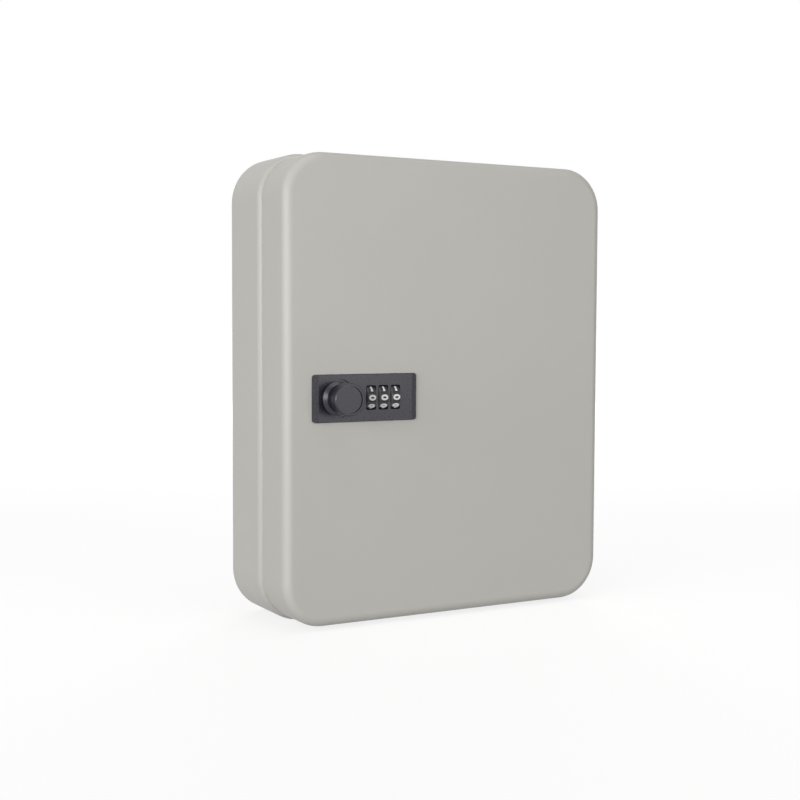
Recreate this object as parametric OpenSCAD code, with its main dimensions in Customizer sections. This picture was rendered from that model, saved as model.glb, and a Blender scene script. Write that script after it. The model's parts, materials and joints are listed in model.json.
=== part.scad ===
// Wall key cabinet. A drawn steel case with an inward lip carries six rails of eight key hooks.
// A deep drawn door closes it on two butt hinges, and a three-wheel combination lock turns a
// cranked cam behind the lip.
// Origin: the middle of the back face, on the wall. X runs right, Y into the wall and Z up, so
// the front faces -Y. Depths named "..._f" are distances in front of the wall.

/* [Case] */
// Width of the case
case_w = 244; // [236:1:290]
// Height of the case
case_h = 300; // [290:1:360]
// Depth of the case, from the wall to the face of its lip
case_depth = 44.4; // [38:0.2:70]
// Outer radius of the case's four corners, seen from the front
corner_r = 30; // [20:1:40]
// Radius of the rounded front edge of the case
case_edge_r = 4.5; // [3:0.5:8]
// Width of the lip that turns in behind the door
lip_w = 14; // [11:0.5:18]
// Thickness of the case's and door's sheet steel
sheet = 1.2; // [0.8:0.1:1.5]
// Depth of the back panel's turned flange
flange_depth = 10; // [6:1:15]
// Gap between the back panel and the case around it
panel_gap = 0.1; // [0.05:0.05:0.3]

/* [Wall holes] */
// Diameter of the four wall holes
wall_hole_d = 6.5; // [5:0.5:8]
// Distance of the wall holes from the case's left and right sides
hole_inset_x = 27; // [24:1:40]
// Distance of the wall holes from the case's top and bottom
hole_inset_z = 20; // [17:1:23]

/* [Door] */
// Depth of the door, from its open edge to its face
door_depth = 33; // [30:0.5:40]
// How far the door's sides stand in from the case's
door_step = 2; // [1:0.25:3]
// Radius of the door's rounded front edge
door_edge_r = 6; // [4:0.5:9]
// Gap between the door's open edge and the case's lip
seam_gap = 0.6; // [0.4:0.1:1]

/* [Hinges] */
// Height of one hinge
hinge_h = 40; // [30:1:44]
// Distance of each hinge's middle from the case's top or bottom
hinge_inset = 55; // [55:1:70]
// Diameter of the hinge pin
pin_d = 3; // [2.5:0.1:3.5]
// Wall of the rolled hinge eye
eye_wall = 1; // [0.8:0.1:1.3]
// Thickness of a hinge leaf
leaf_t = 1.2; // [1:0.1:1.4]
// Width of a hinge leaf, from the pin
leaf_w = 20; // [14:1:26]
// Radial clearance of the pin in the eyes
pin_clear = 0.05; // [0.02:0.01:0.1]
// Gap between one eye and the next along the pin
eye_gap = 0.4; // [0.3:0.1:0.8]
// Diameter of the pin's head
pin_head_d = 4.4; // [4:0.2:5]
// Height of the pin's head
pin_head_h = 1; // [0.6:0.1:1.5]

/* [Hook rails] */
// Distance of the rails' ends from the case's left and right sides
rail_margin = 14; // [14:0.5:24]
// Free height of the case above and below the rails' rows
row_margin = 21; // [21:1:30]
// Height of a rail
rail_h = 20; // [18:0.5:22]
// Thickness of a rail's strip
rail_t = 1; // [0.8:0.1:1.2]
// Reach of a hook in front of the back panel
hook_reach = 20; // [16:0.5:24]
// Width of a hook
hook_w = 4; // [3:0.5:6]
// Height of a hook's turned-up tip
hook_tip = 8; // [6:0.5:9]
// Height of a number strip
strip_h = 9; // [7:0.5:9]
// Thickness of a number strip
strip_t = 0.6; // [0.4:0.1:1]
// Play of a number strip in its channel
strip_play = 0.05; // [0.02:0.01:0.1]
// Overlap of a rail's channel on the number strip
channel_turn = 1.2; // [0.8:0.1:1.5]
// Diameter of a rail rivet's shank
rivet_d = 3.2; // [2.4:0.2:4]
// Diameter of a rail rivet's head
rivet_head_d = 6; // [5:0.2:7]
// Height of a rail rivet's head
rivet_head_h = 1.3; // [0.8:0.1:1.8]

/* [Lock] */
// Distance of the knob's axis from the door's left side
lock_inset = 35.8; // [35:0.1:40]
// Height of the knob's axis above the cabinet's middle
lock_z = -4.1; // [-30:0.1:30]
// Width of the lock's face plate
plate_w = 73.2; // [73.2:0.1:80]
// Height of the lock's face plate
plate_h = 30; // [30:0.5:36]
// Thickness of the lock's face plate
plate_t = 2.5; // [2:0.1:3.5]
// Corner radius of the lock's face plate
plate_r = 2; // [1.5:0.25:4]
// Chamfer round the face plate
plate_chamfer = 0.5; // [0.3:0.1:0.8]
// Width of the bevel at each end of the face plate
end_bevel = 3.6; // [2:0.1:4]
// How far the end bevel falls
end_drop = 0.8; // [0.4:0.1:1.2]
// Distance from the knob's axis to the middle of the face plate
plate_shift = 19.5; // [18.6:0.1:19.6]
// Depth of the lock's housing behind the door's sheet
housing_depth = 16.8; // [16.5:0.1:19]
// Wall of the lock's housing
housing_wall = 1.5; // [1:0.1:1.5]
// How far the housing stands in from the edge of the face plate
housing_inset = 1; // [0.8:0.1:1.2]
// How far the cut-out in the door stands in from the housing's outside
cut_inset = 2; // [1.6:0.1:2.2]
// Diameter of a screw post
post_d = 4.4; // [4:0.1:4.6]
// Diameter of a housing screw
screw_d = 2.5; // [2:0.1:3]
// Length of a housing screw under its head
screw_len = 9; // [6:0.5:12]
// Diameter of a housing screw's head
screw_head_d = 5.5; // [4.5:0.1:6]
// Height of a housing screw's head
screw_head_h = 1.8; // [1.2:0.1:2.4]
// Width of the cross slots in a housing screw
screw_slot = 0.8; // [0.5:0.1:1]

/* [Number wheels] */
// Radius of a number wheel
wheel_r = 9.5; // [9:0.1:9.6]
// Width of a number wheel
wheel_w = 6; // [5:0.1:6.2]
// Chamfer on the edges of a number wheel
wheel_chamfer = 0.4; // [0.2:0.1:0.6]
// Distance between number wheels
wheel_pitch = 8.7; // [8.6:0.1:9]
// Distance from the knob's axis to the first number wheel
first_wheel = 23; // [22.5:0.1:23.3]
// How far the wheels stand out of the face plate
wheel_proud = 2.2; // [2:0.1:2.6]
// Radius of the grip groove between two numbers
groove_r = 0.9; // [0.5:0.1:1.1]
// Clearance of a window on each side of its wheel
window_side = 0.5; // [0.3:0.05:0.6]
// Clearance of a window above and below its wheel
window_end = 1.7; // [0.8:0.1:1.8]
// Corner radius of a window
window_r = 1.2; // [0.6:0.1:2]
// Diameter of the wheels' axle
axle_d = 3; // [2.5:0.1:3.5]
// Thickness of a bracket that holds the axle
bracket_t = 2; // [1.6:0.1:2.2]
// Wall of a bracket round the axle
bracket_wall = 2.5; // [2:0.1:3]
// Radius of the sleeve that a wheel turns on
sleeve_r = 3.8; // [3.3:0.1:3.9]
// Radius of the gate disc beside each wheel
gate_r = 5.5; // [5.3:0.1:5.8]
// Width of a gate disc
gate_w = 1.6; // [1.4:0.1:1.7]
// Distance of the gate's flat from the wheels' axis
gate_flat = 4; // [3.8:0.1:4.2]
// Radial clearance of the lock's running fits
run_clear = 0.05; // [0.02:0.01:0.1]
// Gap between lock pieces that pass each other
lock_gap = 0.3; // [0.2:0.05:0.4]

/* [Knob] */
// Diameter of the knob's base flange
flange_d = 21.6; // [20.6:0.1:22.6]
// Height of the knob's base flange
flange_h = 3.5; // [2.5:0.1:4]
// Size of the cone that narrows the flange towards the neck
flange_cone = 2; // [1:0.1:2.2]
// Diameter of the knob's neck, between flange and grip
neck_d = 16.4; // [14:0.1:16.6]
// Height of the knob's neck
neck_h = 7.5; // [5:0.5:8]
// Diameter of the knob's grip
grip_d = 20.8; // [20:0.1:22]
// Height of the knob above the face plate
knob_h = 16.6; // [16:0.1:18]
// Rounding of the grip's edges
knob_round = 1; // [0.6:0.1:1.2]
// Depth of the round recess in the face plate under the knob
recess_depth = 1.4; // [0.8:0.1:1.5]
// Width of the recess around the knob's flange
recess_gap = 1.5; // [0.8:0.1:1.7]
// Diameter of the disc set into the knob's face
cap_d = 17; // [14:0.1:17.6]
// Thickness of the disc set into the knob's face
cap_t = 0.8; // [0.5:0.1:1.2]
// How far the disc lies below the grip's rim
cap_sink = 0.9; // [0.3:0.1:1.2]
// Clearance round the disc
cap_gap = 0.1; // [0.05:0.05:0.2]
// Diameter of the knob's shank
shank_d = 10; // [9:0.1:10.5]
// Length of the knob's shank behind the face plate's front
shank_len = 7.5; // [6:0.5:8]
// Wall of the collar that the shank turns in
collar_wall = 1.5; // [1:0.1:1.5]

/* [Spindle and cam] */
// Diameter of the spindle inside the knob
spindle_d = 6; // [5:0.1:6.5]
// Diameter of the spindle's bearing in the housing
bearing_d = 8; // [7.5:0.1:9]
// Diameter of the spindle's threaded end
thread_d = 5; // [4:0.1:5.5]
// Thickness of the cam
cam_t = 2.2; // [1.8:0.1:2.6]
// Width of the cam's arm
cam_w = 14; // [10:0.5:16]
// Radius of the cam's hub
cam_hub_r = 8; // [7:0.1:9]
// Distance of the cam's hub behind the housing
cam_standoff = 5.8; // [5:0.1:6.5]
// Length of the arm before its crank
cam_neck = 10; // [9:0.5:12]
// Length of the arm over which the crank runs
crank_run = 5; // [4:0.5:7]
// How far the cam reaches behind the lip
cam_bite = 8.5; // [5:0.5:9]
// Gap between the locked cam and the lip
cam_gap = 0.8; // [0.5:0.1:1.5]
// Thickness of the cam's washer
washer_t = 1; // [0.6:0.1:1.2]
// Diameter of the cam's washer
washer_d = 10; // [9:0.5:12]
// Width of the cam's nut across its flats
nut_flats = 8; // [7:0.5:9]
// Height of the cam's nut
nut_h = 4; // [3:0.5:4]

/* [Fence and code lever] */
// Thickness of the fence plate
fence_t = 1.6; // [1.2:0.1:1.8]
// Width of the fence's bars
fence_bar = 1.4; // [1.2:0.1:1.5]
// Travel of the fence
fence_travel = 1.8; // [1.5:0.1:1.9]
// Radius of the drive disc where it lifts the fence
drive_r = 7; // [6.6:0.1:7.2]
// Clearance between the fence and the hubs in front of it
fence_clear = 0.4; // [0.3:0.05:0.5]
// Clearance between the fence's low bar and the number wheels above it
bar_clear = 0.6; // [0.4:0.1:0.7]
// Width of a fence tooth
tooth_w = 1.2; // [1:0.1:1.3]
// Wire diameter of the fence spring
wire_d = 0.4; // [0.3:0.05:0.5]
// Middle radius of the fence spring's coils
coil_r = 1.3; // [1:0.1:1.6]
// Travel of the code lever
lever_travel = 4; // [3:0.5:5]
// Width of the code lever's tab
lever_w = 3; // [2:0.5:4]
// Height of the code lever's tab
lever_h = 2.5; // [2:0.1:3]
// How far the code lever's tab stands out of the housing
lever_proud = 3; // [2:0.5:3.5]
// Height of the code lever above the wheels' axis
lever_z = 9.3; // [9:0.1:9.6]
// Thickness of the detent spring's sheet
detent_t = 0.4; // [0.3:0.05:0.5]

/* [Hidden] */
$fn = 64;
ROWS = 6;
HOOKS = 8;
WHEELS = 3;
NUMBERS = 10;
THROUGH = 1;

// Case and door
lip_back_f = case_depth - sheet;
door_back_f = case_depth + seam_gap;
door_face_f = door_back_f + door_depth;
door_inside_f = door_face_f - sheet;
door_w = case_w - 2 * door_step;
door_h = case_h - 2 * door_step;
door_r = corner_r - door_step;
panel_w = case_w - 2 * (sheet + panel_gap);
panel_h = case_h - 2 * (sheet + panel_gap);
panel_r = corner_r - sheet - panel_gap;
panel_edge_r = 2 * sheet;
wall_hole_x = case_w - 2 * hole_inset_x;
wall_hole_z = case_h - 2 * hole_inset_z;

// Hinges
hinge_z = case_h / 2 - hinge_inset;
pin_r = pin_d / 2;
eye_r = pin_r + eye_wall;
pivot_x = case_w / 2 - sheet - leaf_t + eye_r;
pivot_f = door_back_f;
eye_h = (hinge_h - 2 * eye_gap) / 3;
notch_gap = 0.5;
leaf_start = eye_r + notch_gap;

// Rails
rail_len = case_w - 2 * rail_margin;
hook_pitch = rail_len / HOOKS;
row_pitch = (case_h - 2 * row_margin) / ROWS;
web_f = sheet + rail_t;
strip_end = 1;
channel_f = web_f + strip_t + 2 * strip_play;
strip_top = rail_h / 2 - rail_t - strip_play;
shelf_z = strip_top - strip_h - strip_play;
rivet_x = rail_len / 2 - rivet_head_d;
rivet_z = (shelf_z - rail_h / 2) / 2;

// Lock: x and z below are measured from the knob's axis
lock_x = lock_inset - door_w / 2;
plate_f = door_face_f + plate_t;
housing_w = plate_w - 2 * housing_inset;
housing_h = plate_h - 2 * housing_inset;
housing_back_f = door_inside_f - housing_depth;
housing_floor_f = housing_back_f + housing_wall;
room_h = housing_h - 2 * housing_wall;
cut_w = housing_w - 2 * cut_inset;
cut_h = housing_h - 2 * cut_inset;
post_x = cut_w / 2 - post_d / 2 - lock_gap;
post_z = cut_h / 2 - post_d / 2 - lock_gap;
axis_f = plate_f + wheel_proud - wheel_r;
window_w = wheel_w + 2 * window_side;
chord_h = 2 * sqrt(wheel_r * wheel_r - (wheel_r - wheel_proud) * (wheel_r - wheel_proud));
window_h = chord_h + 2 * window_end;
bracket_r = axle_d / 2 + bracket_wall;
bracket_gap = 0.5;
bracket_left = first_wheel - wheel_w / 2 - bracket_gap - bracket_t;
bracket_right = disc_x(WHEELS) + gate_w + bracket_gap;
function wheel_x(number) = first_wheel + (number - 1) * wheel_pitch;
function disc_x(number) = wheel_x(number) + wheel_w / 2 + lock_gap;

// Fence
fence_front_f = axis_f - gate_flat - fence_clear;
fence_back_f = fence_front_f - fence_t;
fence_top = drive_r + lock_gap;
fence_side_gap = 1.2;
fence_side = drive_r + fence_side_gap;
wheel_reach = sqrt(wheel_r * wheel_r - pow(axis_f - fence_front_f, 2));
gate_reach = sqrt(gate_r * gate_r - pow(axis_f - fence_front_f, 2));
fence_low = -wheel_reach - bar_clear;
tooth_top = fence_travel - gate_reach - lock_gap;
spring_x = 2;
spring_gap = 0.1;
spring_low = fence_top + fence_bar + spring_gap;
spring_high = room_h / 2 - spring_gap;

// Knob, spindle and cam
knob_floor_f = plate_f - recess_depth + lock_gap;
knob_top_f = plate_f + knob_h;
shank_back_f = plate_f - shank_len;
collar_short = 1;
collar_back_f = shank_back_f + collar_short;
knob_end_wall = 4;
spindle_front_f = knob_top_f - knob_end_wall;
disc_extra = 0.4;
disc_t = fence_t + disc_extra;
disc_back_f = fence_back_f - (disc_t - fence_t) / 2;
cam_front_f = housing_back_f - cam_standoff;
cam_tip_f = lip_back_f - cam_gap;
crank = cam_front_f - cam_tip_f;
cam_len = lock_inset + door_step - lip_w + cam_bite;
nut_front_f = cam_front_f - cam_t - washer_t;
thread_end = 1;
spindle_back_f = nut_front_f - nut_h - thread_end;

// ---- Shared shapes ----

// Puts a shape drawn face up on its depth in front of the wall
module in_front(f) {
    translate([0, -f, 0]) rotate([90, 0, 0]) children();
}

// Puts a shape on the lock, with its depth measured from the wall
module on_lock(x, z, f) {
    translate([lock_x + x, -f, lock_z + z]) rotate([90, 0, 0]) children();
}

// A box on the lock, from a low to a high corner; depths run towards the front
module lock_box(x0, x1, z0, z1, f0, f1) {
    translate([lock_x + x0, -f1, lock_z + z0]) cube([x1 - x0, f1 - f0, z1 - z0]);
}

// A rod along X on the wheels' axis
module axis_rod(x0, x1, r) {
    translate([lock_x + x0, -axis_f, lock_z]) rotate([0, 90, 0]) cylinder(h = x1 - x0, r = r);
}

// Carries a section round a rectangle with round corners; the section's x runs out from the
// middle of the corner's arc, and its y towards the face
module around(w, h, r) {
    for (turn = [0 : 3]) {
        across = turn % 2 == 0 ? w : h;
        along = turn % 2 == 0 ? h : w;
        rotate([0, 0, 90 * turn]) {
            translate([across / 2 - r, 0, 0])
                rotate([90, 0, 0])
                    linear_extrude(along - 2 * r, center = true) children();
            translate([across / 2 - r, along / 2 - r, 0])
                rotate_extrude(angle = 90) children();
        }
    }
}

// Section of a block whose outer front edge is round
module edge_section(r, depth, edge, reach) {
    translate([r - reach, 0]) square([reach - edge, depth]);
    translate([r - reach, 0]) square([reach, depth - edge]);
    translate([r - edge, depth - edge]) circle(edge);
}

// The same in sheet metal, open at its foot; it reaches in from the outline by "reach"
module sheet_section(r, depth, edge, wall, reach) {
    inner = min(reach - wall + THROUGH, r - wall);
    difference() {
        edge_section(r, depth, edge, reach);
        translate([0, -THROUGH]) edge_section(r - wall, depth - wall + THROUGH, edge - wall, inner);
    }
}

// A drawn tray of sheet metal with its face up
module tray(w, h, r, depth, edge, wall) {
    around(w, h, r) sheet_section(r, depth, edge, wall, r);
    translate([r - w / 2, r - h / 2, depth - wall]) cube([w - 2 * r, h - 2 * r, wall]);
}

// A flat plate with round corners
module plate(w, h, r, t) {
    translate([-w / 2, r - h / 2, 0]) cube([w, h - 2 * r, t]);
    translate([r - w / 2, -h / 2, 0]) cube([w - 2 * r, h, t]);
    for (x = [r - w / 2, w / 2 - r], y = [r - h / 2, h / 2 - r])
        translate([x, y, 0]) cylinder(h = t, r = r);
}

// A turned section with round outer edges
module turned_step(r, low, high, edge) {
    translate([0, low]) square([r - edge, high - low]);
    translate([0, low + edge]) square([r, high - low - 2 * edge]);
    translate([r - edge, low + edge]) circle(edge);
    translate([r - edge, high - edge]) circle(edge);
}

// A turned section whose upper edge is cut off at 45 degrees
module turned_cone(r, low, high, cut) {
    polygon([[0, low], [r, low], [r, high - cut], [r - cut, high], [0, high]]);
}

// ---- Case ----

// Cuts the room for both hinges out of an edge, from one depth to another
module hinge_notches(low_x, f0, f1) {
    for (side = [-1, 1])
        translate([low_x, -f1, side * hinge_z - hinge_h / 2 - notch_gap])
            cube([case_w / 2 + THROUGH - low_x, f1 - f0, hinge_h + pin_head_h + 2 * notch_gap]);
}

module body_frame() {
    color("#b9b8b2")
        difference() {
            in_front(0)
                around(case_w, case_h, corner_r)
                    sheet_section(corner_r, case_depth, case_edge_r, sheet, lip_w);
            hinge_notches(pivot_x - eye_r - notch_gap, case_depth - case_edge_r, case_depth + THROUGH);
        }
}

module back_panel() {
    color("#b9b8b2")
        difference() {
            rotate([-90, 0, 0])
                translate([0, 0, -flange_depth])
                    tray(panel_w, panel_h, panel_r, flange_depth, panel_edge_r, sheet);
            for (x = [-wall_hole_x / 2, wall_hole_x / 2], z = [-wall_hole_z / 2, wall_hole_z / 2])
                translate([x, 0, z]) in_front(-THROUGH) cylinder(h = sheet + 2 * THROUGH, d = wall_hole_d);
            for (row = [1 : ROWS], x = [-rivet_x, rivet_x])
                translate([x, 0, row_z(row) + rivet_z])
                    in_front(-THROUGH) cylinder(h = sheet + 2 * THROUGH, d = rivet_d);
        }
}

// ---- Hook rails ----

function row_z(row) = ((ROWS + 1) / 2 - row) * row_pitch;
function hook_x(hook) = (hook - (HOOKS - 1) / 2) * hook_pitch;

// A strip along the rail, from a low to a high depth and height
module rail_strip(f0, f1, z0, z1) {
    translate([-rail_len / 2, -f1, z0]) cube([rail_len, f1 - f0, z1 - z0]);
}

module key_hook() {
    low = -rail_h / 2;
    end_f = sheet + hook_reach;
    translate([-hook_w / 2, -end_f, low]) cube([hook_w, hook_reach, rail_t]);
    translate([-hook_w / 2, -end_f, low]) cube([hook_w, rail_t, hook_tip - hook_w / 2]);
    translate([0, -end_f, low + hook_tip - hook_w / 2])
        rotate([-90, 0, 0]) cylinder(h = rail_t, d = hook_w);
}

module hook_rail(row) {
    channel_end = channel_f + rail_t;
    top = rail_h / 2;
    color("#c3c2bc")
        translate([0, 0, row_z(row)])
            difference() {
                union() {
                    rail_strip(sheet, web_f, -top, top);
                    rail_strip(sheet, channel_end, top - rail_t, top);
                    rail_strip(channel_f, channel_end, strip_top - channel_turn, top);
                    rail_strip(sheet, channel_end, shelf_z - rail_t, shelf_z);
                    rail_strip(channel_f, channel_end, shelf_z - rail_t, shelf_z + channel_turn);
                    for (hook = [0 : HOOKS - 1]) translate([hook_x(hook), 0, 0]) key_hook();
                }
                for (x = [-rivet_x, rivet_x])
                    translate([x, 0, rivet_z])
                        in_front(0) cylinder(h = web_f + THROUGH, d = rivet_d);
            }
}

module number_strip(row) {
    color("white")
        translate([strip_end - rail_len / 2, -web_f - strip_t, row_z(row) + strip_top - strip_h])
            cube([rail_len - 2 * strip_end, strip_t, strip_h]);
}

module rail_rivets() {
    dome_r = (pow(rivet_head_d / 2, 2) + pow(rivet_head_h, 2)) / (2 * rivet_head_h);
    color("silver")
        for (row = [1 : ROWS], x = [-rivet_x, rivet_x])
            translate([x, 0, row_z(row) + rivet_z]) {
                in_front(0) cylinder(h = web_f, d = rivet_d);
                intersection() {
                    translate([0, dome_r - rivet_head_h - web_f, 0]) sphere(dome_r);
                    in_front(web_f) cylinder(h = rivet_head_h, d = rivet_head_d);
                }
            }
}

// ---- Hinges ----

// Puts a hinge piece, drawn about its own middle, at the upper or lower hinge
module at_hinge(side) {
    translate([pivot_x, -pivot_f, side * hinge_z]) children();
}

// An eye round the pin, centred on a height
module hinge_eye(z) {
    translate([0, 0, z - eye_h / 2]) linear_extrude(eye_h) circle(eye_r);
}

module case_hinge_leaf(side) {
    color("#b9b8b2")
        at_hinge(side)
            difference() {
                union() {
                    translate([-eye_r, leaf_start, -hinge_h / 2])
                        cube([leaf_t, leaf_w - leaf_start, hinge_h]);
                    for (end = [-1, 1]) {
                        hinge_eye(end * (eye_h + eye_gap));
                        translate([-eye_r, 0, end * (eye_h + eye_gap) - eye_h / 2])
                            cube([leaf_t, leaf_start, eye_h]);
                    }
                }
                translate([0, 0, -hinge_h]) cylinder(h = 2 * hinge_h, r = pin_r + pin_clear);
            }
}

module door_hinge_leaf(side) {
    leaf_x = door_w / 2 - sheet - leaf_t - pivot_x;
    color("#b9b8b2")
        at_hinge(side)
            difference() {
                union() {
                    translate([leaf_x, -leaf_w, -hinge_h / 2])
                        cube([leaf_t, leaf_w - leaf_start, hinge_h]);
                    hinge_eye(0);
                    translate([0, 0, -eye_h / 2])
                        linear_extrude(eye_h)
                            polygon([[-eye_r, 0], [leaf_t - eye_r, 0],
                                [leaf_x + leaf_t, -leaf_start], [leaf_x, -leaf_start]]);
                }
                translate([0, 0, -hinge_h]) cylinder(h = 2 * hinge_h, r = pin_r + pin_clear);
            }
}

module hinge_pin(side) {
    color("silver")
        at_hinge(side) {
            translate([0, 0, -hinge_h / 2]) cylinder(h = hinge_h, r = pin_r);
            translate([0, 0, hinge_h / 2]) cylinder(h = pin_head_h, d = pin_head_d);
        }
}

// ---- Door ----

module door_shell() {
    color("#b3b2ad")
        difference() {
            in_front(door_back_f) tray(door_w, door_h, door_r, door_depth, door_edge_r, sheet);
            hinge_notches(door_w / 2 - sheet - leaf_t, door_back_f - THROUGH,
                door_back_f + leaf_start + notch_gap);
            on_lock(plate_shift, 0, door_inside_f - THROUGH)
                translate([-cut_w / 2, -cut_h / 2, 0]) cube([cut_w, cut_h, sheet + 2 * THROUGH]);
        }
}

// ---- Lock case ----

// The four screw places of the housing
module at_posts(f) {
    for (x = [-post_x, post_x], z = [-post_z, post_z])
        on_lock(plate_shift + x, z, f) children();
}

// A window is a slot with round corners
module window(number) {
    on_lock(wheel_x(number), 0, door_face_f - THROUGH)
        plate(window_w, window_h, window_r, plate_t + 2 * THROUGH);
}

// Cuts the slope off both ends of the face plate
module end_bevels() {
    slope = end_drop / end_bevel;
    for (side = [0, 180])
        on_lock(plate_shift, 0, plate_f)
            rotate([90, 0, side])
                translate([plate_w / 2, 0, -plate_h / 2 - THROUGH])
                    linear_extrude(plate_h + 2 * THROUGH)
                        polygon([[-end_bevel, 0], [THROUGH, -end_drop - slope * THROUGH],
                            [THROUGH, THROUGH], [-end_bevel, THROUGH]]);
}

module axle_bracket(x) {
    lock_box(x, x + bracket_t, -bracket_r, bracket_r, axis_f, door_face_f);
    translate([lock_x + x, -axis_f, lock_z]) rotate([0, 90, 0]) cylinder(h = bracket_t, r = bracket_r);
}

module lock_face() {
    color("#4f4e51")
        difference() {
            union() {
                on_lock(plate_shift, 0, door_face_f) {
                    around(plate_w, plate_h, plate_r)
                        polygon([[0, 0], [plate_r, 0], [plate_r, plate_t - plate_chamfer],
                            [plate_r - plate_chamfer, plate_t], [0, plate_t]]);
                    translate([plate_r - plate_w / 2, plate_r - plate_h / 2, 0])
                        cube([plate_w - 2 * plate_r, plate_h - 2 * plate_r, plate_t]);
                }
                at_posts(housing_floor_f) cylinder(h = door_face_f - housing_floor_f, d = post_d);
                axle_bracket(bracket_left);
                axle_bracket(bracket_right);
                on_lock(0, 0, collar_back_f)
                    cylinder(h = door_face_f - collar_back_f, d = shank_d + 2 * collar_wall);
            }
            end_bevels();
            for (number = [1 : WHEELS]) {
                window(number);
                axis_rod(wheel_x(number) - window_w / 2, wheel_x(number) + window_w / 2,
                    wheel_r + lock_gap);
                axis_rod(disc_x(number) - lock_gap / 2, disc_x(number) + gate_w + lock_gap / 2,
                    gate_r + lock_gap);
            }
            on_lock(0, 0, plate_f - recess_depth)
                cylinder(h = plate_t, d = flange_d + 2 * recess_gap);
            on_lock(0, 0, collar_back_f - THROUGH)
                cylinder(h = plate_f - collar_back_f + THROUGH, r = shank_d / 2 + run_clear);
            at_posts(housing_floor_f - THROUGH) cylinder(h = screw_len + THROUGH, d = screw_d);
            axis_rod(bracket_left - THROUGH, bracket_right + bracket_t + THROUGH, axle_d / 2);
        }
}

module lock_housing() {
    slot_w = lever_travel + lever_w + 2 * lock_gap;
    slot_h = lever_h + 2 * lock_gap;
    boss_d = bearing_d + 2 * collar_wall;
    color("#8f9092")
        difference() {
            union() {
                difference() {
                    on_lock(plate_shift, 0, housing_back_f)
                        translate([-housing_w / 2, -housing_h / 2, 0])
                            cube([housing_w, housing_h, housing_depth]);
                    on_lock(plate_shift, 0, housing_floor_f)
                        translate([housing_wall - housing_w / 2, -room_h / 2, 0])
                            cube([housing_w - 2 * housing_wall, room_h, housing_depth]);
                }
                on_lock(0, 0, housing_back_f)
                    cylinder(h = disc_back_f - lock_gap - housing_back_f, d = boss_d);
                lock_box(fence_side, fence_side + fence_bar, fence_low, drive_r,
                    housing_back_f, fence_back_f - lock_gap);
                lock_box(disc_x(WHEELS), bracket_right,
                    fence_low - fence_bar, fence_low, housing_back_f, fence_back_f - lock_gap);
            }
            on_lock(0, 0, housing_back_f - THROUGH)
                cylinder(h = housing_depth, r = bearing_d / 2 + run_clear);
            on_lock(wheel_x(2) + lever_travel / 2, lever_z, housing_back_f - THROUGH)
                translate([-slot_w / 2, -slot_h / 2, 0])
                    cube([slot_w, slot_h, housing_wall + 2 * THROUGH]);
            at_posts(housing_back_f - THROUGH)
                cylinder(h = housing_wall + 2 * THROUGH, d = screw_d);
        }
}

module lock_screws() {
    color("silver")
        at_posts(housing_back_f) {
            cylinder(h = screw_len, d = screw_d);
            difference() {
                translate([0, 0, -screw_head_h]) cylinder(h = screw_head_h, d = screw_head_d);
                for (turn = [0, 90])
                    rotate([0, 0, turn])
                        translate([-screw_head_d / 3, -screw_slot / 2, -screw_head_h - THROUGH])
                            cube([screw_head_d / 1.5, screw_slot, THROUGH + screw_head_h / 2]);
            }
        }
}

module wheel_axle() {
    color("silver") axis_rod(bracket_left, bracket_right + bracket_t, axle_d / 2);
}

module wheel_hub(number) {
    left = wheel_x(number) - wheel_w / 2;
    disc = disc_x(number);
    color("#c9a860")
        difference() {
            union() {
                axis_rod(left, disc, sleeve_r);
                axis_rod(disc, disc + gate_w, gate_r);
            }
            axis_rod(left - THROUGH, disc + gate_w + THROUGH, axle_d / 2 + run_clear);
            lock_box(disc, disc + gate_w + THROUGH, -gate_r, gate_r,
                axis_f - 2 * gate_r, axis_f - gate_flat);
        }
}

// The grooves lie between the numbers, one of which faces forwards
module number_wheel(number) {
    left = wheel_x(number) - wheel_w / 2;
    rim = wheel_r - wheel_chamfer;
    color("#3d3d40")
        translate([lock_x + left, -axis_f, lock_z])
            rotate([0, 90, 0])
                difference() {
                    rotate_extrude()
                        polygon([[sleeve_r + run_clear, 0], [rim, 0], [wheel_r, wheel_chamfer],
                            [wheel_r, wheel_w - wheel_chamfer], [rim, wheel_w],
                            [sleeve_r + run_clear, wheel_w]]);
                    for (step = [0 : NUMBERS - 1])
                        rotate([0, 0, 90 + (step + 0.5) * 360 / NUMBERS])
                            translate([wheel_r + groove_r / 3, 0, -THROUGH])
                                cylinder(h = wheel_w + 2 * THROUGH, r = groove_r);
                }
}

// A strip along the housing's floor, with one bent finger behind each wheel
module detent_spring() {
    finger_w = wheel_w - 2;
    strip_w = 3;
    nose = 1;
    tail_z = 3;
    tail_lift = 0.3;
    foot = housing_floor_f;
    touch = axis_f - wheel_r - lock_gap;
    start = 1 - room_h / 2;
    color("silver") {
        lock_box(wheel_x(1) - finger_w / 2, wheel_x(WHEELS) + finger_w / 2,
            start, start + strip_w, foot, foot + detent_t);
        for (number = [1 : WHEELS])
            translate([lock_x + wheel_x(number) - finger_w / 2, 0, lock_z])
                rotate([90, 0, 90])
                    linear_extrude(finger_w)
                        polygon([[-foot, start + strip_w], [-foot - detent_t, start + strip_w],
                            [-touch, -nose], [-touch, nose],
                            [-foot - detent_t - tail_lift, tail_z], [-foot - tail_lift, tail_z],
                            [detent_t - touch, nose], [detent_t - touch, -nose]]);
    }
}

// ---- Knob, spindle and cam ----

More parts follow.
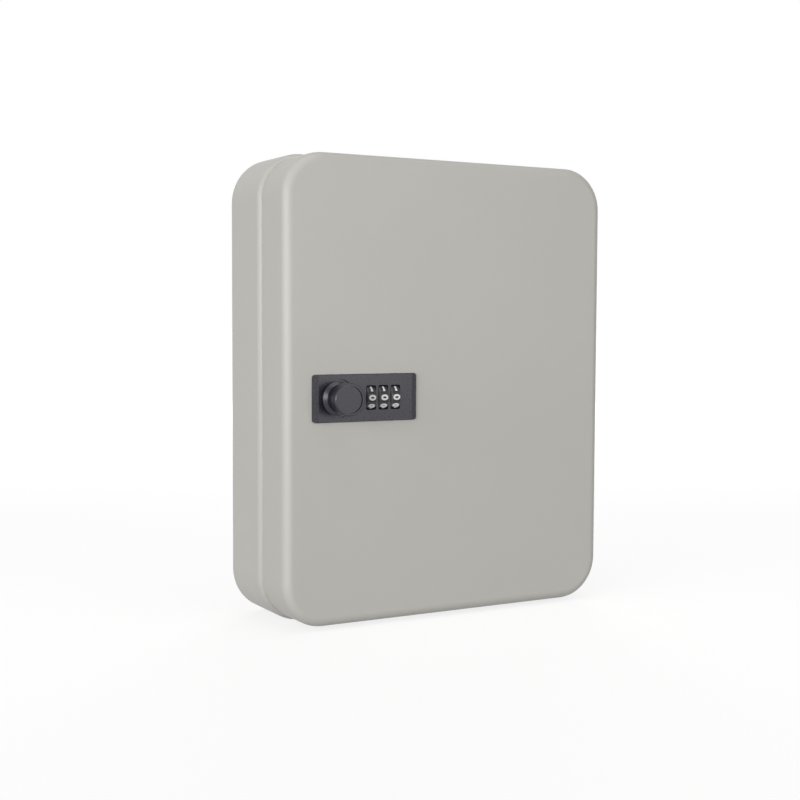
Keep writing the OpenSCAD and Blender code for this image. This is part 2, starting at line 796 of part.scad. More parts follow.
module knob() {
    foot = knob_floor_f;
    grip_low = flange_h + neck_h;
    high = knob_top_f - foot;
    color("#4b4a4d")
        on_lock(0, 0, foot)
            difference() {
                rotate_extrude() {
                    turned_cone(flange_d / 2, 0, flange_h, flange_cone);
                    square([neck_d / 2, high - knob_round]);
                    turned_step(grip_d / 2, grip_low, high, knob_round);
                    translate([0, shank_back_f - foot]) square([shank_d / 2, foot - shank_back_f]);
                }
                translate([0, 0, high - cap_sink - cap_t])
                    cylinder(h = cap_sink + cap_t + THROUGH, d = cap_d);
                translate([0, 0, shank_back_f - foot - THROUGH])
                    cylinder(h = spindle_front_f - shank_back_f + THROUGH, d = spindle_d);
            }
}

module knob_cap() {
    color("#565558")
        on_lock(0, 0, knob_top_f - cap_sink - cap_t) cylinder(h = cap_t, d = cap_d - 2 * cap_gap);
}

module spindle() {
    color("silver")
        on_lock(0, 0, spindle_back_f) {
            cylinder(h = cam_front_f - spindle_back_f, d = thread_d);
            translate([0, 0, cam_front_f - spindle_back_f])
                cylinder(h = disc_back_f - cam_front_f, d = bearing_d);
            translate([0, 0, disc_back_f - spindle_back_f])
                cylinder(h = spindle_front_f - disc_back_f, d = spindle_d);
        }
}

// The disc's radius falls evenly over the quarter turn that locks, and stays low elsewhere
function drive_radius(angle) =
    angle < 0 ? drive_r
    : angle <= 90 ? drive_r - fence_travel * angle / 90
    : drive_r - fence_travel;

module drive_disc() {
    step = 6;
    color("#c9a860")
        on_lock(0, 0, disc_back_f)
            difference() {
                linear_extrude(disc_t)
                    polygon([for (angle = [-60 : step : 300 - step])
                        drive_radius(angle) * [-sin(angle), cos(angle)]]);
                translate([0, 0, -THROUGH]) cylinder(h = disc_t + 2 * THROUGH, d = spindle_d);
            }
}

// At rest the arm hangs down, clear of the lip
module cam() {
    bend = atan2(crank, crank_run);
    shift = cam_t * tan(bend / 2);
    straight = cam_len - cam_w / 2;
    color("silver")
        translate([lock_x, 0, lock_z])
            difference() {
                union() {
                    in_front(cam_front_f - cam_t) cylinder(h = cam_t, r = cam_hub_r);
                    translate([-cam_w / 2, 0, 0])
                        rotate([90, 0, 90])
                            linear_extrude(cam_w)
                                polygon([[-cam_front_f, 0], [-cam_front_f, -cam_neck],
                                    [-cam_tip_f, -cam_neck - crank_run], [-cam_tip_f, -straight],
                                    [cam_t - cam_tip_f, -straight],
                                    [cam_t - cam_tip_f, shift - cam_neck - crank_run],
                                    [cam_t - cam_front_f, shift - cam_neck],
                                    [cam_t - cam_front_f, 0]]);
                    translate([0, 0, -straight])
                        in_front(cam_tip_f - cam_t) cylinder(h = cam_t, d = cam_w);
                }
                in_front(cam_front_f - cam_t - THROUGH)
                    cylinder(h = cam_t + 2 * THROUGH, d = thread_d);
            }
}

module cam_washer() {
    color("silver")
        on_lock(0, 0, nut_front_f)
            difference() {
                cylinder(h = washer_t, d = washer_d);
                translate([0, 0, -THROUGH]) cylinder(h = washer_t + 2 * THROUGH, d = thread_d);
            }
}

module cam_nut() {
    color("silver")
        on_lock(0, 0, nut_front_f - nut_h)
            difference() {
                cylinder(h = nut_h, d = nut_flats / cos(30), $fn = 6);
                translate([0, 0, -THROUGH]) cylinder(h = nut_h + 2 * THROUGH, d = thread_d);
            }
}

// ---- Fence and code lever ----

module fence() {
    end = disc_x(WHEELS) + gate_w;
    f0 = fence_back_f;
    f1 = fence_front_f;
    color("#9a9a98") {
        lock_box(-drive_r + 2, fence_side + fence_bar, fence_top, fence_top + fence_bar, f0, f1);
        lock_box(fence_side, fence_side + fence_bar, fence_low - fence_bar, fence_top, f0, f1);
        lock_box(fence_side, end, fence_low - fence_bar, fence_low, f0, f1);
        for (number = [1 : WHEELS]) {
            middle = disc_x(number) + gate_w / 2;
            lock_box(middle - tooth_w / 2, middle + tooth_w / 2, fence_low, tooth_top, f0, f1);
        }
    }
}

// Points of one ring of the coil's wire, at an angle along the coil
function wire_ring(angle, sides, low, rise) =
    [for (side = [0 : sides - 1])
        let (turn = 360 * side / sides, out = coil_r + wire_d / 2 * cos(turn))
        [out * cos(angle), out * sin(angle), low + rise * angle / 360 + wire_d / 2 * sin(turn)]];

module fence_spring() {
    turns = 3;
    steps = 14;
    sides = 6;
    rings = turns * steps + 1;
    low = wire_d / 2;
    rise = (spring_high - spring_low - wire_d) / turns;
    points = [for (ring = [0 : rings - 1]) each wire_ring(360 * ring / steps, sides, low, rise)];
    faces = concat(
        [[for (side = [0 : sides - 1]) side]],
        [for (ring = [0 : rings - 2], side = [0 : sides - 1])
            let (here = ring * sides, next = (side + 1) % sides)
            [here + side, here + sides + side, here + sides + next, here + next]],
        [[for (side = [sides - 1 : -1 : 0]) (rings - 1) * sides + side]]);
    color("silver")
        translate([lock_x + spring_x, (fence_back_f + fence_front_f) / -2, lock_z + spring_low])
            polyhedron(points, faces);
}

// A tab through the slot in the housing, with a pad inside that covers the slot
module code_lever() {
    x = wheel_x(2);
    pad_w = lever_w + 2 * lever_travel;
    pad_t = 1;
    pad_low = 1;
    pad_high = 0.7;
    color("#9a9a98") {
        lock_box(x - lever_w / 2, x + lever_w / 2, lever_z - lever_h / 2, lever_z + lever_h / 2,
            housing_back_f - lever_proud, housing_floor_f + lock_gap);
        lock_box(x - pad_w / 2, x + pad_w / 2, lever_z - pad_low,
            lever_z + lever_h / 2 + pad_high,
            housing_floor_f + lock_gap, housing_floor_f + lock_gap + pad_t);
    }
}

body_frame();
back_panel();
hook_rail(1);  // hook_rail_1
hook_rail(2);  // hook_rail_2
hook_rail(3);  // hook_rail_3
hook_rail(4);  // hook_rail_4
hook_rail(5);  // hook_rail_5
hook_rail(6);  // hook_rail_6
number_strip(1);  // number_strip_1
number_strip(2);  // number_strip_2
number_strip(3);  // number_strip_3
number_strip(4);  // number_strip_4
number_strip(5);  // number_strip_5
number_strip(6);  // number_strip_6
rail_rivets();
case_hinge_leaf(1);  // case_hinge_leaf_upper
case_hinge_leaf(-1);  // case_hinge_leaf_lower
hinge_pin(1);  // hinge_pin_upper
hinge_pin(-1);  // hinge_pin_lower
door_shell();
door_hinge_leaf(1);  // door_hinge_leaf_upper
door_hinge_leaf(-1);  // door_hinge_leaf_lower
lock_face();
lock_housing();
lock_screws();
wheel_axle();
wheel_hub(1);  // wheel_hub_1
wheel_hub(2);  // wheel_hub_2
wheel_hub(3);  // wheel_hub_3
detent_spring();
knob();
knob_cap();
spindle();
drive_disc();
cam();
cam_washer();
cam_nut();
number_wheel(1);  // number_wheel_1
number_wheel(2);  // number_wheel_2
number_wheel(3);  // number_wheel_3
fence();
fence_spring();
code_lever();
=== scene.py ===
"""Looks of the wall key cabinet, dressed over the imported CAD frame.

Lengths are in metres: +X to the right, +Y into the wall, +Z up.
"""
import json
import math

import bpy
from mathutils import Matrix, Vector


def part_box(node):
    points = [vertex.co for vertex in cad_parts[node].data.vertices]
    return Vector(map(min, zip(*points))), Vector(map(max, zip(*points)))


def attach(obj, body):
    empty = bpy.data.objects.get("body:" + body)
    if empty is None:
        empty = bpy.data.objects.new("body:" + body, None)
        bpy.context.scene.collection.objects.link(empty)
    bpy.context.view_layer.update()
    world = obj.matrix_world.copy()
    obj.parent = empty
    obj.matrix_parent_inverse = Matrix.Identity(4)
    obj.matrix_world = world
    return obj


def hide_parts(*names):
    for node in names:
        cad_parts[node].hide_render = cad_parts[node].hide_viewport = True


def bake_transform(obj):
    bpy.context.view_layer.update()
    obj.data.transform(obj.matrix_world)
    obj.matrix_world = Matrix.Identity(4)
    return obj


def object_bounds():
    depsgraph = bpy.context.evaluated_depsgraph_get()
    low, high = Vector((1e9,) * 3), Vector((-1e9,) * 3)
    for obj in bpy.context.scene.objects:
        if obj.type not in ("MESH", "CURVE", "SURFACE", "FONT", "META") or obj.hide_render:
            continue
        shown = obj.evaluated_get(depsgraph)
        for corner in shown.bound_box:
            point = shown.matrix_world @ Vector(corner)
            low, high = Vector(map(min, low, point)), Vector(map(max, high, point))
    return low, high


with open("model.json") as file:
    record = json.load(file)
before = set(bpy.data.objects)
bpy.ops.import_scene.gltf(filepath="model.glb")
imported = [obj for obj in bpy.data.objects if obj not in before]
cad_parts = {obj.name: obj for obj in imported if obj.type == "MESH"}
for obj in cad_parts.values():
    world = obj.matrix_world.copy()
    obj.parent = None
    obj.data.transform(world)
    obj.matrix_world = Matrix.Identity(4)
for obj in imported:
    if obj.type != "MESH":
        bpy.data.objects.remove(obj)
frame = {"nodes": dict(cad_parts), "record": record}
CAD_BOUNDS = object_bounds()
MM = 0.001

# Camera: where it stands and how it looks, for an 800 x 800 frame
CAMERA_PLACE = Vector((-0.4569, -0.8243, 0.0467))
CAMERA_YAW = math.radians(29.25)
CAMERA_PITCH = math.radians(3.55)
CAMERA_ROLL = math.radians(0.24)
SENSOR = 36.0
LENS = 60.3
OBJECT_MIDDLE = (CAD_BOUNDS[0] + CAD_BOUNDS[1]) / 2


# ---- Node helpers ----

# A noise seldom leaves the middle half of its range
NOISE_LOW = 0.25
NOISE_HIGH = 0.75
# How far the rounded normal leans from the flat one where an edge starts to show, and where fully
EDGE_START = 0.015
EDGE_FULL = 0.12
# The share of a normal that lies along X where a side starts to show, and where fully
SIDE_START = 0.6
SIDE_FULL = 0.8


def new_material(name):
    """A node material with a bare Principled shader: the material, its tree and the shader."""
    material = bpy.data.materials.new(name)
    material.use_nodes = True
    tree = material.node_tree
    shader = tree.nodes["Principled BSDF"]
    return material, tree, shader


def noise(tree, scale, detail=2.0, roughness=0.5, stretch=(1.0, 1.0, 1.0)):
    """A noise over the object's own coordinates, with about "scale" features a metre."""
    coords = tree.nodes.new("ShaderNodeTexCoord")
    mapping = tree.nodes.new("ShaderNodeMapping")
    mapping.inputs["Scale"].default_value = stretch
    texture = tree.nodes.new("ShaderNodeTexNoise")
    texture.inputs["Scale"].default_value = scale
    texture.inputs["Detail"].default_value = detail
    texture.inputs["Roughness"].default_value = roughness
    tree.links.new(coords.outputs["Object"], mapping.inputs["Vector"])
    tree.links.new(mapping.outputs["Vector"], texture.inputs["Vector"])
    return texture.outputs["Fac"]


def spread(tree, source, low, high):
    """Maps a factor's middle half onto the range from low to high."""
    node = tree.nodes.new("ShaderNodeMapRange")
    node.inputs["From Min"].default_value = NOISE_LOW
    node.inputs["From Max"].default_value = NOISE_HIGH
    node.inputs["To Min"].default_value = low
    node.inputs["To Max"].default_value = high
    tree.links.new(source, node.inputs["Value"])
    return node.outputs["Result"]


def tint(tree, source, dark, light):
    """A colour that runs from dark to light with a factor."""
    node = tree.nodes.new("ShaderNodeMix")
    node.data_type = "RGBA"
    node.inputs[6].default_value = (*dark, 1.0)
    node.inputs[7].default_value = (*light, 1.0)
    tree.links.new(source, node.inputs[0])
    return node.outputs[2]


def bump(tree, shader, source, height, normal=None):
    """Raises the surface by a factor, height in metres, over an earlier bump if there is one."""
    node = tree.nodes.new("ShaderNodeBump")
    node.inputs["Strength"].default_value = 1.0
    node.inputs["Distance"].default_value = height
    tree.links.new(source, node.inputs["Height"])
    if normal is not None:
        tree.links.new(normal, node.inputs["Normal"])
    tree.links.new(node.outputs["Normal"], shader.inputs["Normal"])
    return node.outputs["Normal"]


def edges(tree, radius):
    """1 on the edges and corners of a piece, within a radius of them, and 0 on its open faces."""
    rounded = tree.nodes.new("ShaderNodeBevel")
    rounded.inputs["Radius"].default_value = radius
    flat = tree.nodes.new("ShaderNodeNewGeometry")
    likeness = tree.nodes.new("ShaderNodeVectorMath")
    likeness.operation = "DOT_PRODUCT"
    tree.links.new(rounded.outputs["Normal"], likeness.inputs[0])
    tree.links.new(flat.outputs["Normal"], likeness.inputs[1])
    node = tree.nodes.new("ShaderNodeMapRange")
    node.inputs["From Min"].default_value = 1.0 - EDGE_START
    node.inputs["From Max"].default_value = 1.0 - EDGE_FULL
    tree.links.new(likeness.outputs["Value"], node.inputs["Value"])
    return node.outputs["Result"]


def side_faces(tree):
    """1 on the faces that look along the object's own X axis, and 0 on the others."""
    coords = tree.nodes.new("ShaderNodeTexCoord")
    parts = tree.nodes.new("ShaderNodeSeparateXYZ")
    tree.links.new(coords.outputs["Normal"], parts.inputs[0])
    size = tree.nodes.new("ShaderNodeMath")
    size.operation = "ABSOLUTE"
    tree.links.new(parts.outputs["X"], size.inputs[0])
    node = tree.nodes.new("ShaderNodeMapRange")
    node.inputs["From Min"].default_value = SIDE_START
    node.inputs["From Max"].default_value = SIDE_FULL
    tree.links.new(size.outputs[0], node.inputs["Value"])
    return node.outputs["Result"]


def both(tree, first, second):
    """The product of two factors."""
    node = tree.nodes.new("ShaderNodeMath")
    node.operation = "MULTIPLY"
    tree.links.new(first, node.inputs[0])
    tree.links.new(second, node.inputs[1])
    return node.outputs[0]


def worn(tree, colour_out, blend, overlay_colour):
    """The colour, with a second colour showing in by a factor."""
    node = tree.nodes.new("ShaderNodeMix")
    node.data_type = "RGBA"
    node.inputs[7].default_value = (*overlay_colour, 1.0)
    tree.links.new(blend, node.inputs[0])
    tree.links.new(colour_out, node.inputs[6])
    return node.outputs[2]


def shaded(colour, share):
    """The colour with each channel times a share."""
    return tuple(channel * share for channel in colour)


# ---- Materials ----

# How far from an edge the paler edge colour reaches
EDGE_RADIUS = 0.35 * MM
# Features a metre of the paint's drift in tone, its orange peel and the fine grain on it
DRIFT_SCALE = 14.0
PEEL_SCALE = 170.0
FINE_SCALE = 520.0
# How much the drift changes the paint's tone, each way
DRIFT = 0.015
# The fine grain's height as a share of the orange peel's
FINE_SHARE = 0.35


def powder_coat(name, colour, peel=2.2e-5, rough=0.42):
    """Baked powder paint: an orange peel with a fine grain on it and a slightly uneven shine."""
    material, tree, shader = new_material(name)
    drift = spread(tree, noise(tree, DRIFT_SCALE, detail=3.0), 0.0, 1.0)
    colour_out = tint(tree, drift, shaded(colour, 1.0 - DRIFT), shaded(colour, 1.0 + DRIFT))
    tree.links.new(colour_out, shader.inputs["Base Color"])
    fine = noise(tree, FINE_SCALE, detail=3.0, roughness=0.55)
    tree.links.new(spread(tree, fine, rough - 0.04, rough + 0.05), shader.inputs["Roughness"])
    waves = bump(tree, shader, noise(tree, PEEL_SCALE, detail=2.0), peel)
    bump(tree, shader, fine, peel * FINE_SHARE, waves)
    shader.inputs["Specular IOR Level"].default_value = 0.45
    return material


def bare_metal(name, colour, rough=0.34):
    """Plated, cast or machined metal: patches in its tone and shine, and a fine grain."""
    material, tree, shader = new_material(name)
    patches = noise(tree, 260.0, detail=4.0)
    patchy = spread(tree, patches, 0.0, 1.0)
    colour_out = tint(tree, patchy, shaded(colour, 0.84), shaded(colour, 1.1))
    tree.links.new(colour_out, shader.inputs["Base Color"])
    tree.links.new(spread(tree, patches, rough - 0.08, rough + 0.1), shader.inputs["Roughness"])
    bump(tree, shader, noise(tree, 1500.0, detail=3.0), 6.0e-6)
    shader.inputs["Metallic"].default_value = 1.0
    return material


def moulded(name, colour, grain, height=1.2e-5, rough=0.38, shine=0.35, pale_edges=None, sides=None):
    """Moulded plastic or enamel with a fine grain.

    Its edges and its faces along X can take colours of their own; on the number wheels both are a
    pale grey painted highlight.
    """
    material, tree, shader = new_material(name)
    colour_out = tint(tree, noise(tree, 60.0), shaded(colour, 0.92), shaded(colour, 1.08))
    # Faces along X in a colour of their own; on the number wheels this is a painted highlight.
    if sides is not None:
        colour_out = worn(tree, colour_out, side_faces(tree), sides)
    # A paler colour along the edges, in patches; on the number wheels this is a painted highlight.
    if pale_edges is not None:
        patchy = spread(tree, noise(tree, 420.0, detail=3.0), 0.35, 1.0)
        colour_out = worn(tree, colour_out, both(tree, edges(tree, EDGE_RADIUS), patchy), pale_edges)
    tree.links.new(colour_out, shader.inputs["Base Color"])
    fine = noise(tree, grain, detail=3.0, roughness=0.6)
    tree.links.new(spread(tree, fine, rough - 0.06, rough + 0.08), shader.inputs["Roughness"])
    bump(tree, shader, fine, height)
    shader.inputs["Specular IOR Level"].default_value = shine
    return material


def card(name, colour):
    """Matt card with a faint fibre."""
    material, tree, shader = new_material(name)
    fibre = noise(tree, 1400.0, detail=4.0, stretch=(0.3, 1.0, 1.0))
    tree.links.new(tint(tree, fibre, shaded(colour, 0.96), colour), shader.inputs["Base Color"])
    bump(tree, shader, fibre, 6.0e-6)
    shader.inputs["Roughness"].default_value = 0.8
    return material


PAINT = (0.472, 0.462, 0.428)
MATERIALS = {
    "case_paint": powder_coat("case_paint", PAINT),
    "rail_paint": powder_coat("rail_paint", shaded(PAINT, 1.05)),
    "strip_card": card("strip_card", (0.86, 0.86, 0.84)),
    "zinc_steel": bare_metal("zinc_steel", (0.42, 0.425, 0.44), rough=0.52),
    "lock_black": moulded("lock_black", (0.014, 0.012, 0.022), grain=1100.0, rough=0.28, shine=0.5,
                          pale_edges=(0.05, 0.05, 0.055)),
    "die_cast": bare_metal("die_cast", (0.36, 0.36, 0.36), rough=0.5),
    "knob_black": moulded("knob_black", (0.014, 0.012, 0.022), grain=1300.0, rough=0.30, shine=0.5,
                          pale_edges=(0.028, 0.028, 0.032)),
    # The wheels' pale grey sides and edges are painted highlight, standing in for the light their
    # sides catch.
    "wheel_black": moulded("wheel_black", (0.012, 0.011, 0.016), grain=1500.0, rough=0.34,
                           shine=0.4, pale_edges=(0.12, 0.12, 0.12), sides=(0.12, 0.12, 0.12)),
    "brass": bare_metal("brass", (0.62, 0.46, 0.22)),
    "spring_steel": bare_metal("spring_steel", (0.55, 0.55, 0.56), rough=0.25),
}
for entry in frame["record"]["subparts"]:
    for slot in frame["nodes"][entry["node"]].material_slots:
        slot.material = MATERIALS[entry["material_slot"]]


# ---- Numerals ----

# The longest straight run in a stroke, and how close two points are the same
STEP = 0.3 * MM
SAME_POINT = 1e-7


def arc(middle, radii, start, sweep, steps=10):
    """Points along part of an ellipse; angles in degrees, anticlockwise from the right."""
    angles = [math.radians(start + sweep * step / steps) for step in range(steps + 1)]
    return [(middle[0] + radii[0] * math.cos(angle), middle[1] + radii[1] * math.sin(angle))
            for angle in angles]


# Strokes of each numeral in a cell that runs from -1 to 1 both ways
NUMERALS = {
    "0": [arc((0, 0), (1, 1), 90, 360, 24)],
    "1": [[(-0.35, 0.6), (0.05, 1), (0.05, -1)], [(-0.35, -1), (0.45, -1)]],
    "2": [arc((0, 0.42), (0.95, 0.58), 165, -200) + [(-1, -1), (1, -1)]],
    "3": [arc((0, 0.5), (0.9, 0.5), 150, -240), arc((0, -0.5), (1, 0.5), 90, -240)],
    "4": [[(-0.65, 1), (-0.9, -0.25), (1, -0.25)], [(0.45, 1), (0.45, -1)]],
    "5": [[(0.85, 1), (-0.75, 1), (-0.85, 0.1)] + arc((0, -0.38), (1, 0.62), 135, -280, 14)],
    "6": [arc((0, -0.38), (1, 0.62), 90, 360, 18), arc((0.25, -0.3), (1.25, 1.3), 180, -95)],
    "7": [[(-1, 1), (1, 1), (-0.3, -1)]],
    "8": [arc((0, 0.5), (0.82, 0.5), -90, 360, 18), arc((0, -0.5), (1, 0.5), 90, 360, 18)],
    "9": [arc((0, 0.38), (1, 0.62), 90, 360, 18), arc((-0.25, 0.3), (1.25, 1.3), 0, -95)],
}


def with_steps(stroke, longest):
    """The same stroke with its long straight runs cut into short ones, so that they can bend."""
    points = [stroke[0]]
    for start, end in zip(stroke, stroke[1:]):
        count = math.ceil(math.dist(start, end) / longest)
        points += [tuple(a + (b - a) * step / count for a, b in zip(start, end))
                   for step in range(1, count + 1)]
    return points


def tube_mesh(name, paths, radius, resolution):
    """Round tubes along paths of 3-D points; a path that ends where it starts is a closed ring."""
    curve = bpy.data.curves.new(name, "CURVE")
    curve.dimensions = "3D"
    curve.bevel_depth = radius
    curve.bevel_resolution = resolution
    curve.use_fill_caps = True
    for path in paths:
        closed = math.dist(path[0], path[-1]) < SAME_POINT
        points = path[:-1] if closed else path
        spline = curve.splines.new("POLY")
        spline.points.add(len(points) - 1)
        for point, place in zip(spline.points, points):
            point.co = (*place, 1.0)
        spline.use_cyclic_u = closed
    holder = bpy.data.objects.new(name + "_path", curve)
    bpy.context.scene.collection.objects.link(holder)
    bpy.context.view_layer.update()
    depsgraph = bpy.context.evaluated_depsgraph_get()
    mesh = bpy.data.meshes.new_from_object(holder.evaluated_get(depsgraph))
    bpy.data.objects.remove(holder)
    bpy.data.curves.remove(curve)
    mesh.name = name
    mesh.shade_smooth()
    return mesh


def stroke_mesh(name, strokes, stroke_w, place):
    """Flat rounded strokes, given as points in metres; place(u, v, w) puts each vertex in space."""
    paths = [[(u, v, 0.0) for u, v in with_steps(stroke, STEP)] for stroke in strokes]
    mesh = tube_mesh(name, paths, stroke_w / 2, resolution=2)
    for vertex in mesh.vertices:
        u, v, w = vertex.co
        vertex.co = place(u, v, w / (stroke_w / 2))
    return mesh


def numeral(digit, middle, size):
    """Strokes of one digit about a middle point, with the size as half width and half height."""
    return [[(middle[0] + size[0] * u, middle[1] + size[1] * v) for u, v in stroke]
            for stroke in NUMERALS[digit]]


# ---- Numbers on the wheels and strips ----

# How far the ink stands proud
INK_H = 0.04 * MM
WHEELS = 3
NUMBERS = 10
# Numerals: half the width and half the height of the strokes' middle lines
WHEEL_NUMERAL = (1.9 * MM, 1.3 * MM)
WHEEL_STROKE = 1.25 * MM
RAILS = 6
HOOKS = 8
STRIP_NUMERAL = (0.95 * MM, 1.7 * MM)
STRIP_STROKE = 0.5 * MM
STRIP_SPACING = 2.9 * MM
STRIP_MARGIN = 1.0 * MM


def add_piece(name, mesh, material, body):
    """A scene piece that rides on a body."""
    mesh.materials.clear()
    mesh.materials.append(material)
    piece = bpy.data.objects.new(name, mesh)
    bpy.context.scene.collection.objects.link(piece)
    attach(piece, body)
    return piece


def wheel_numbers(index, material):
    """Ten numerals wrapped round a wheel, with 0 at the front and 1 above it."""
    low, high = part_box(f"number_wheel_{index}")
    middle = (low + high) / 2
    radius = (high.y - low.y) / 2
    strokes = []
    for digit in range(NUMBERS):
        around = digit * radius * math.tau / NUMBERS
        strokes += numeral(str(digit), (0.0, around), WHEEL_NUMERAL)

    def wrap(u, v, w):
        reach = radius + INK_H * w
        angle = v / radius
        return (middle.x + u, middle.y - reach * math.cos(angle),
                middle.z + reach * math.sin(angle))

    mesh = stroke_mesh(f"wheel_numbers_{index}", strokes, WHEEL_STROKE, wrap)
    add_piece(mesh.name, mesh, material, f"number_wheel_{index}")


def strip_numbers(row, material):
    """The numbers of one rail's hooks, printed on its strip."""
    low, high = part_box(f"number_strip_{row}")
    pitch = (high.x - low.x + 2 * STRIP_MARGIN) / HOOKS
    middle_z = (low.z + high.z) / 2
    strokes = []
    for hook in range(HOOKS):
        text = str((row - 1) * HOOKS + hook + 1)
        middle_x = low.x - STRIP_MARGIN + (hook + 0.5) * pitch
        for place, digit in enumerate(text):
            shift = (place - (len(text) - 1) / 2) * STRIP_SPACING
            strokes += numeral(digit, (middle_x + shift, 0.0), STRIP_NUMERAL)

    def lay(u, v, w):
        return (u, low.y - INK_H * w, middle_z + v)

    mesh = stroke_mesh(f"strip_numbers_{row}", strokes, STRIP_STROKE, lay)
    add_piece(mesh.name, mesh, material, "cabinet")


# ---- The fence's coil ----

COIL_WIRE = 0.4 * MM
COIL_TURNS = 3
COIL_STEPS = 24


def add_fence_coil():
    """A coil in place of the rigid CAD one, built where that one stands."""
    low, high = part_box("fence_spring")
    middle = (low + high) / 2
    radius = (high.x - low.x - COIL_WIRE) / 2
    foot = low.z + COIL_WIRE / 2
    rise = high.z - low.z - COIL_WIRE
    count = COIL_TURNS * COIL_STEPS
    path = []
    for step in range(count + 1):
        angle = math.tau * step / COIL_STEPS
        path.append((middle.x + radius * math.cos(angle), middle.y + radius * math.sin(angle),
                     foot + rise * step / count))
    mesh = tube_mesh("fence_coil", [path], COIL_WIRE / 2, resolution=3)
    mesh.materials.clear()
    mesh.materials.append(MATERIALS["spring_steel"])
    coil = bpy.data.objects.new("fence_coil", mesh)
    bpy.context.scene.collection.objects.link(coil)
    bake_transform(coil)
    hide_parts("fence_spring")


WHITE = (0.75, 0.75, 0.74)
BLACK = (0.02, 0.02, 0.022)
white_ink = moulded("white_ink", WHITE, grain=2200.0, height=4.0e-6, rough=0.45)
black_ink = moulded("black_ink", BLACK, grain=2200.0, height=2.0e-6, rough=0.6)
add_fence_coil()
for index in range(1, WHEELS + 1):
    wheel_numbers(index, white_ink)
for row in range(1, RAILS + 1):
    strip_numbers(row, black_ink)


# ---- Camera, light and floor ----

# The floor's own light, as the camera sees it, and how far from the object it fades to white
FLOOR_GLOW = 0.79
FLOOR_FADE = (0.5, 2.5)
FLOOR_GREY = 0.30
FLOOR_HALF = 20.0
FLOOR_GAP = 0.3 * MM
AMBIENT = 0.22
# Each lamp's place, its width and height, its watts, and whether it shows in reflections
LAMPS = {
    "key": ((-3.6, -1.4, 0.6), (2.5, 2.0), 82.0, True),
    "front_low": ((-1.8, -2.4, 0.0), (2.0, 0.5), 47.5, True),
    "front_right": ((1.1, -3.4, 0.56), (1.6, 1.6), 25.5, True),
    "top": ((0.0, -0.3, 1.7), (1.2, 1.2), 6.0, True),
    "back": ((1.1, 1.7, 0.7), (1.4, 1.0), 17.0, False),
}


def add_camera():
    """The camera at the photograph's place; its turn is its right, forward and up directions."""
    data = bpy.data.cameras.new("camera")
    data.sensor_width = SENSOR
    data.lens = LENS
    camera = bpy.data.objects.new("camera", data)
    bpy.context.scene.collection.objects.link(camera)
    turn = (Matrix.Rotation(CAMERA_ROLL, 3, "Y") @ Matrix.Rotation(CAMERA_PITCH, 3, "X")
            @ Matrix.Rotation(CAMERA_YAW, 3, "Z"))
    right, ahead, up = turn
    basis = Matrix((right, up, -ahead)).transposed()
    camera.matrix_world = Matrix.Translation(CAMERA_PLACE) @ basis.to_4x4()
    bpy.context.scene.camera = camera


def add_softbox(name, place, size, power, mirrored):
    """A soft rectangular lamp aimed at the object's middle."""
    data = bpy.data.lights.new(name, "AREA")
    data.shape = "RECTANGLE"
    data.size, data.size_y = size
    data.energy = power
    lamp = bpy.data.objects.new(name, data)
    lamp.location = place
    lamp.visible_glossy = mirrored
    aim = Vector(OBJECT_MIDDLE) - Vector(place)
    lamp.rotation_euler = aim.to_track_quat("-Z", "Y").to_euler()
    bpy.context.scene.collection.objects.link(lamp)


def seen_rays(tree):
    """1 for the rays that show a background: from the camera, mirrored or through glass."""
    path = tree.nodes.new("ShaderNodeLightPath")
    total = path.outputs["Is Camera Ray"]
    for ray in ("Is Glossy Ray", "Is Transmission Ray"):
        add = tree.nodes.new("ShaderNodeMath")
        add.operation = "ADD"
        add.use_clamp = True
        tree.links.new(total, add.inputs[0])
        tree.links.new(path.outputs[ray], add.inputs[1])
        total = add.outputs[0]
    return total


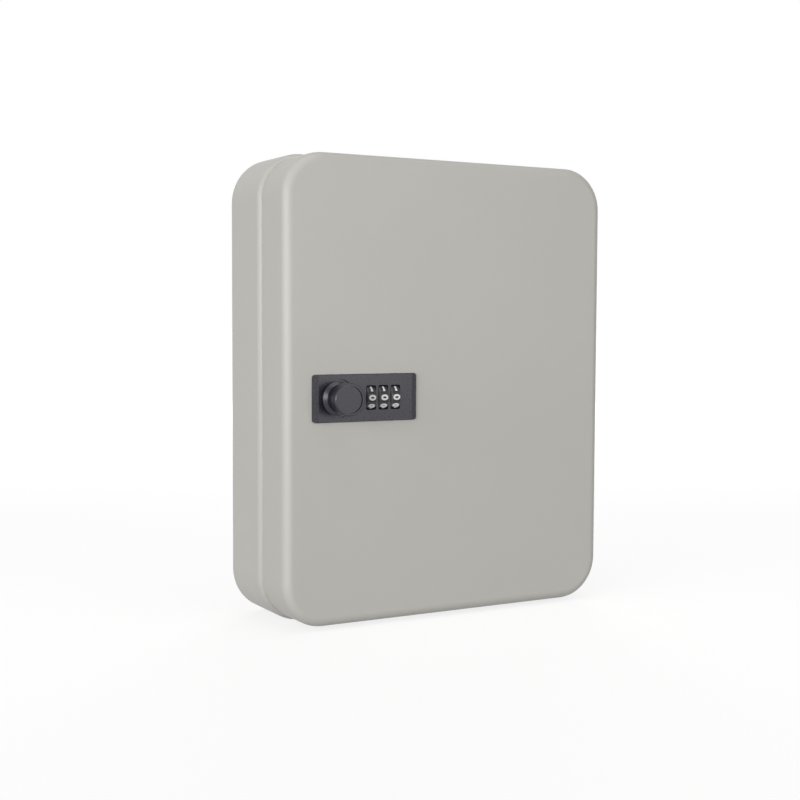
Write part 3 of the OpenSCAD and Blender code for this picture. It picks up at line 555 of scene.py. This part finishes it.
def add_world():
    """A white backdrop all round that lights the object only faintly."""
    world = bpy.data.worlds.new("world")
    bpy.context.scene.world = world
    world.use_nodes = True
    tree = world.node_tree
    light = tree.nodes["Background"]
    light.inputs["Strength"].default_value = AMBIENT
    seen = tree.nodes.new("ShaderNodeBackground")
    seen.inputs["Strength"].default_value = 1.0
    mix = tree.nodes.new("ShaderNodeMixShader")
    for node in (light, seen):
        node.inputs["Color"].default_value = (1.0, 1.0, 1.0, 1.0)
    tree.links.new(seen_rays(tree), mix.inputs["Fac"])
    tree.links.new(light.outputs[0], mix.inputs[1])
    tree.links.new(seen.outputs[0], mix.inputs[2])
    tree.links.new(mix.outputs[0], tree.nodes["World Output"].inputs["Surface"])


def floor_material():
    """Pale floor: it takes the object's shadow close by and runs into the white backdrop."""
    material, tree, shader = new_material("floor")
    shader.inputs["Base Color"].default_value = (FLOOR_GREY, FLOOR_GREY, FLOOR_GREY, 1.0)
    shader.inputs["Roughness"].default_value = 1.0
    shader.inputs["Specular IOR Level"].default_value = 0.0
    coords = tree.nodes.new("ShaderNodeTexCoord")
    reach = tree.nodes.new("ShaderNodeVectorMath")
    reach.operation = "LENGTH"
    tree.links.new(coords.outputs["Object"], reach.inputs[0])
    fade = tree.nodes.new("ShaderNodeMapRange")
    fade.interpolation_type = "SMOOTHSTEP"
    fade.inputs["From Min"].default_value = FLOOR_FADE[0]
    fade.inputs["From Max"].default_value = FLOOR_FADE[1]
    fade.inputs["To Min"].default_value = FLOOR_GLOW
    fade.inputs["To Max"].default_value = 1.0
    tree.links.new(reach.outputs["Value"], fade.inputs["Value"])
    glow = tree.nodes.new("ShaderNodeMath")
    glow.operation = "MULTIPLY"
    tree.links.new(seen_rays(tree), glow.inputs[0])
    tree.links.new(fade.outputs["Result"], glow.inputs[1])
    shader.inputs["Emission Color"].default_value = (1.0, 1.0, 1.0, 1.0)
    tree.links.new(glow.outputs[0], shader.inputs["Emission Strength"])
    return material


def add_floor():
    """A large flat floor just below the object."""
    low = CAD_BOUNDS[0][2] - FLOOR_GAP
    corners = [(x * FLOOR_HALF, y * FLOOR_HALF, 0.0)
               for x, y in ((-1, -1), (1, -1), (1, 1), (-1, 1))]
    mesh = bpy.data.meshes.new("floor")
    mesh.from_pydata(corners, [], [(0, 1, 2, 3)])
    mesh.materials.append(floor_material())
    floor = bpy.data.objects.new("floor", mesh)
    floor.location = (OBJECT_MIDDLE[0], OBJECT_MIDDLE[1], low)
    bpy.context.scene.collection.objects.link(floor)


add_camera()
add_world()
for lamp_name, facts in LAMPS.items():
    add_softbox(lamp_name, *facts)
add_floor()

bpy.context.scene.view_settings.view_transform = "Standard"
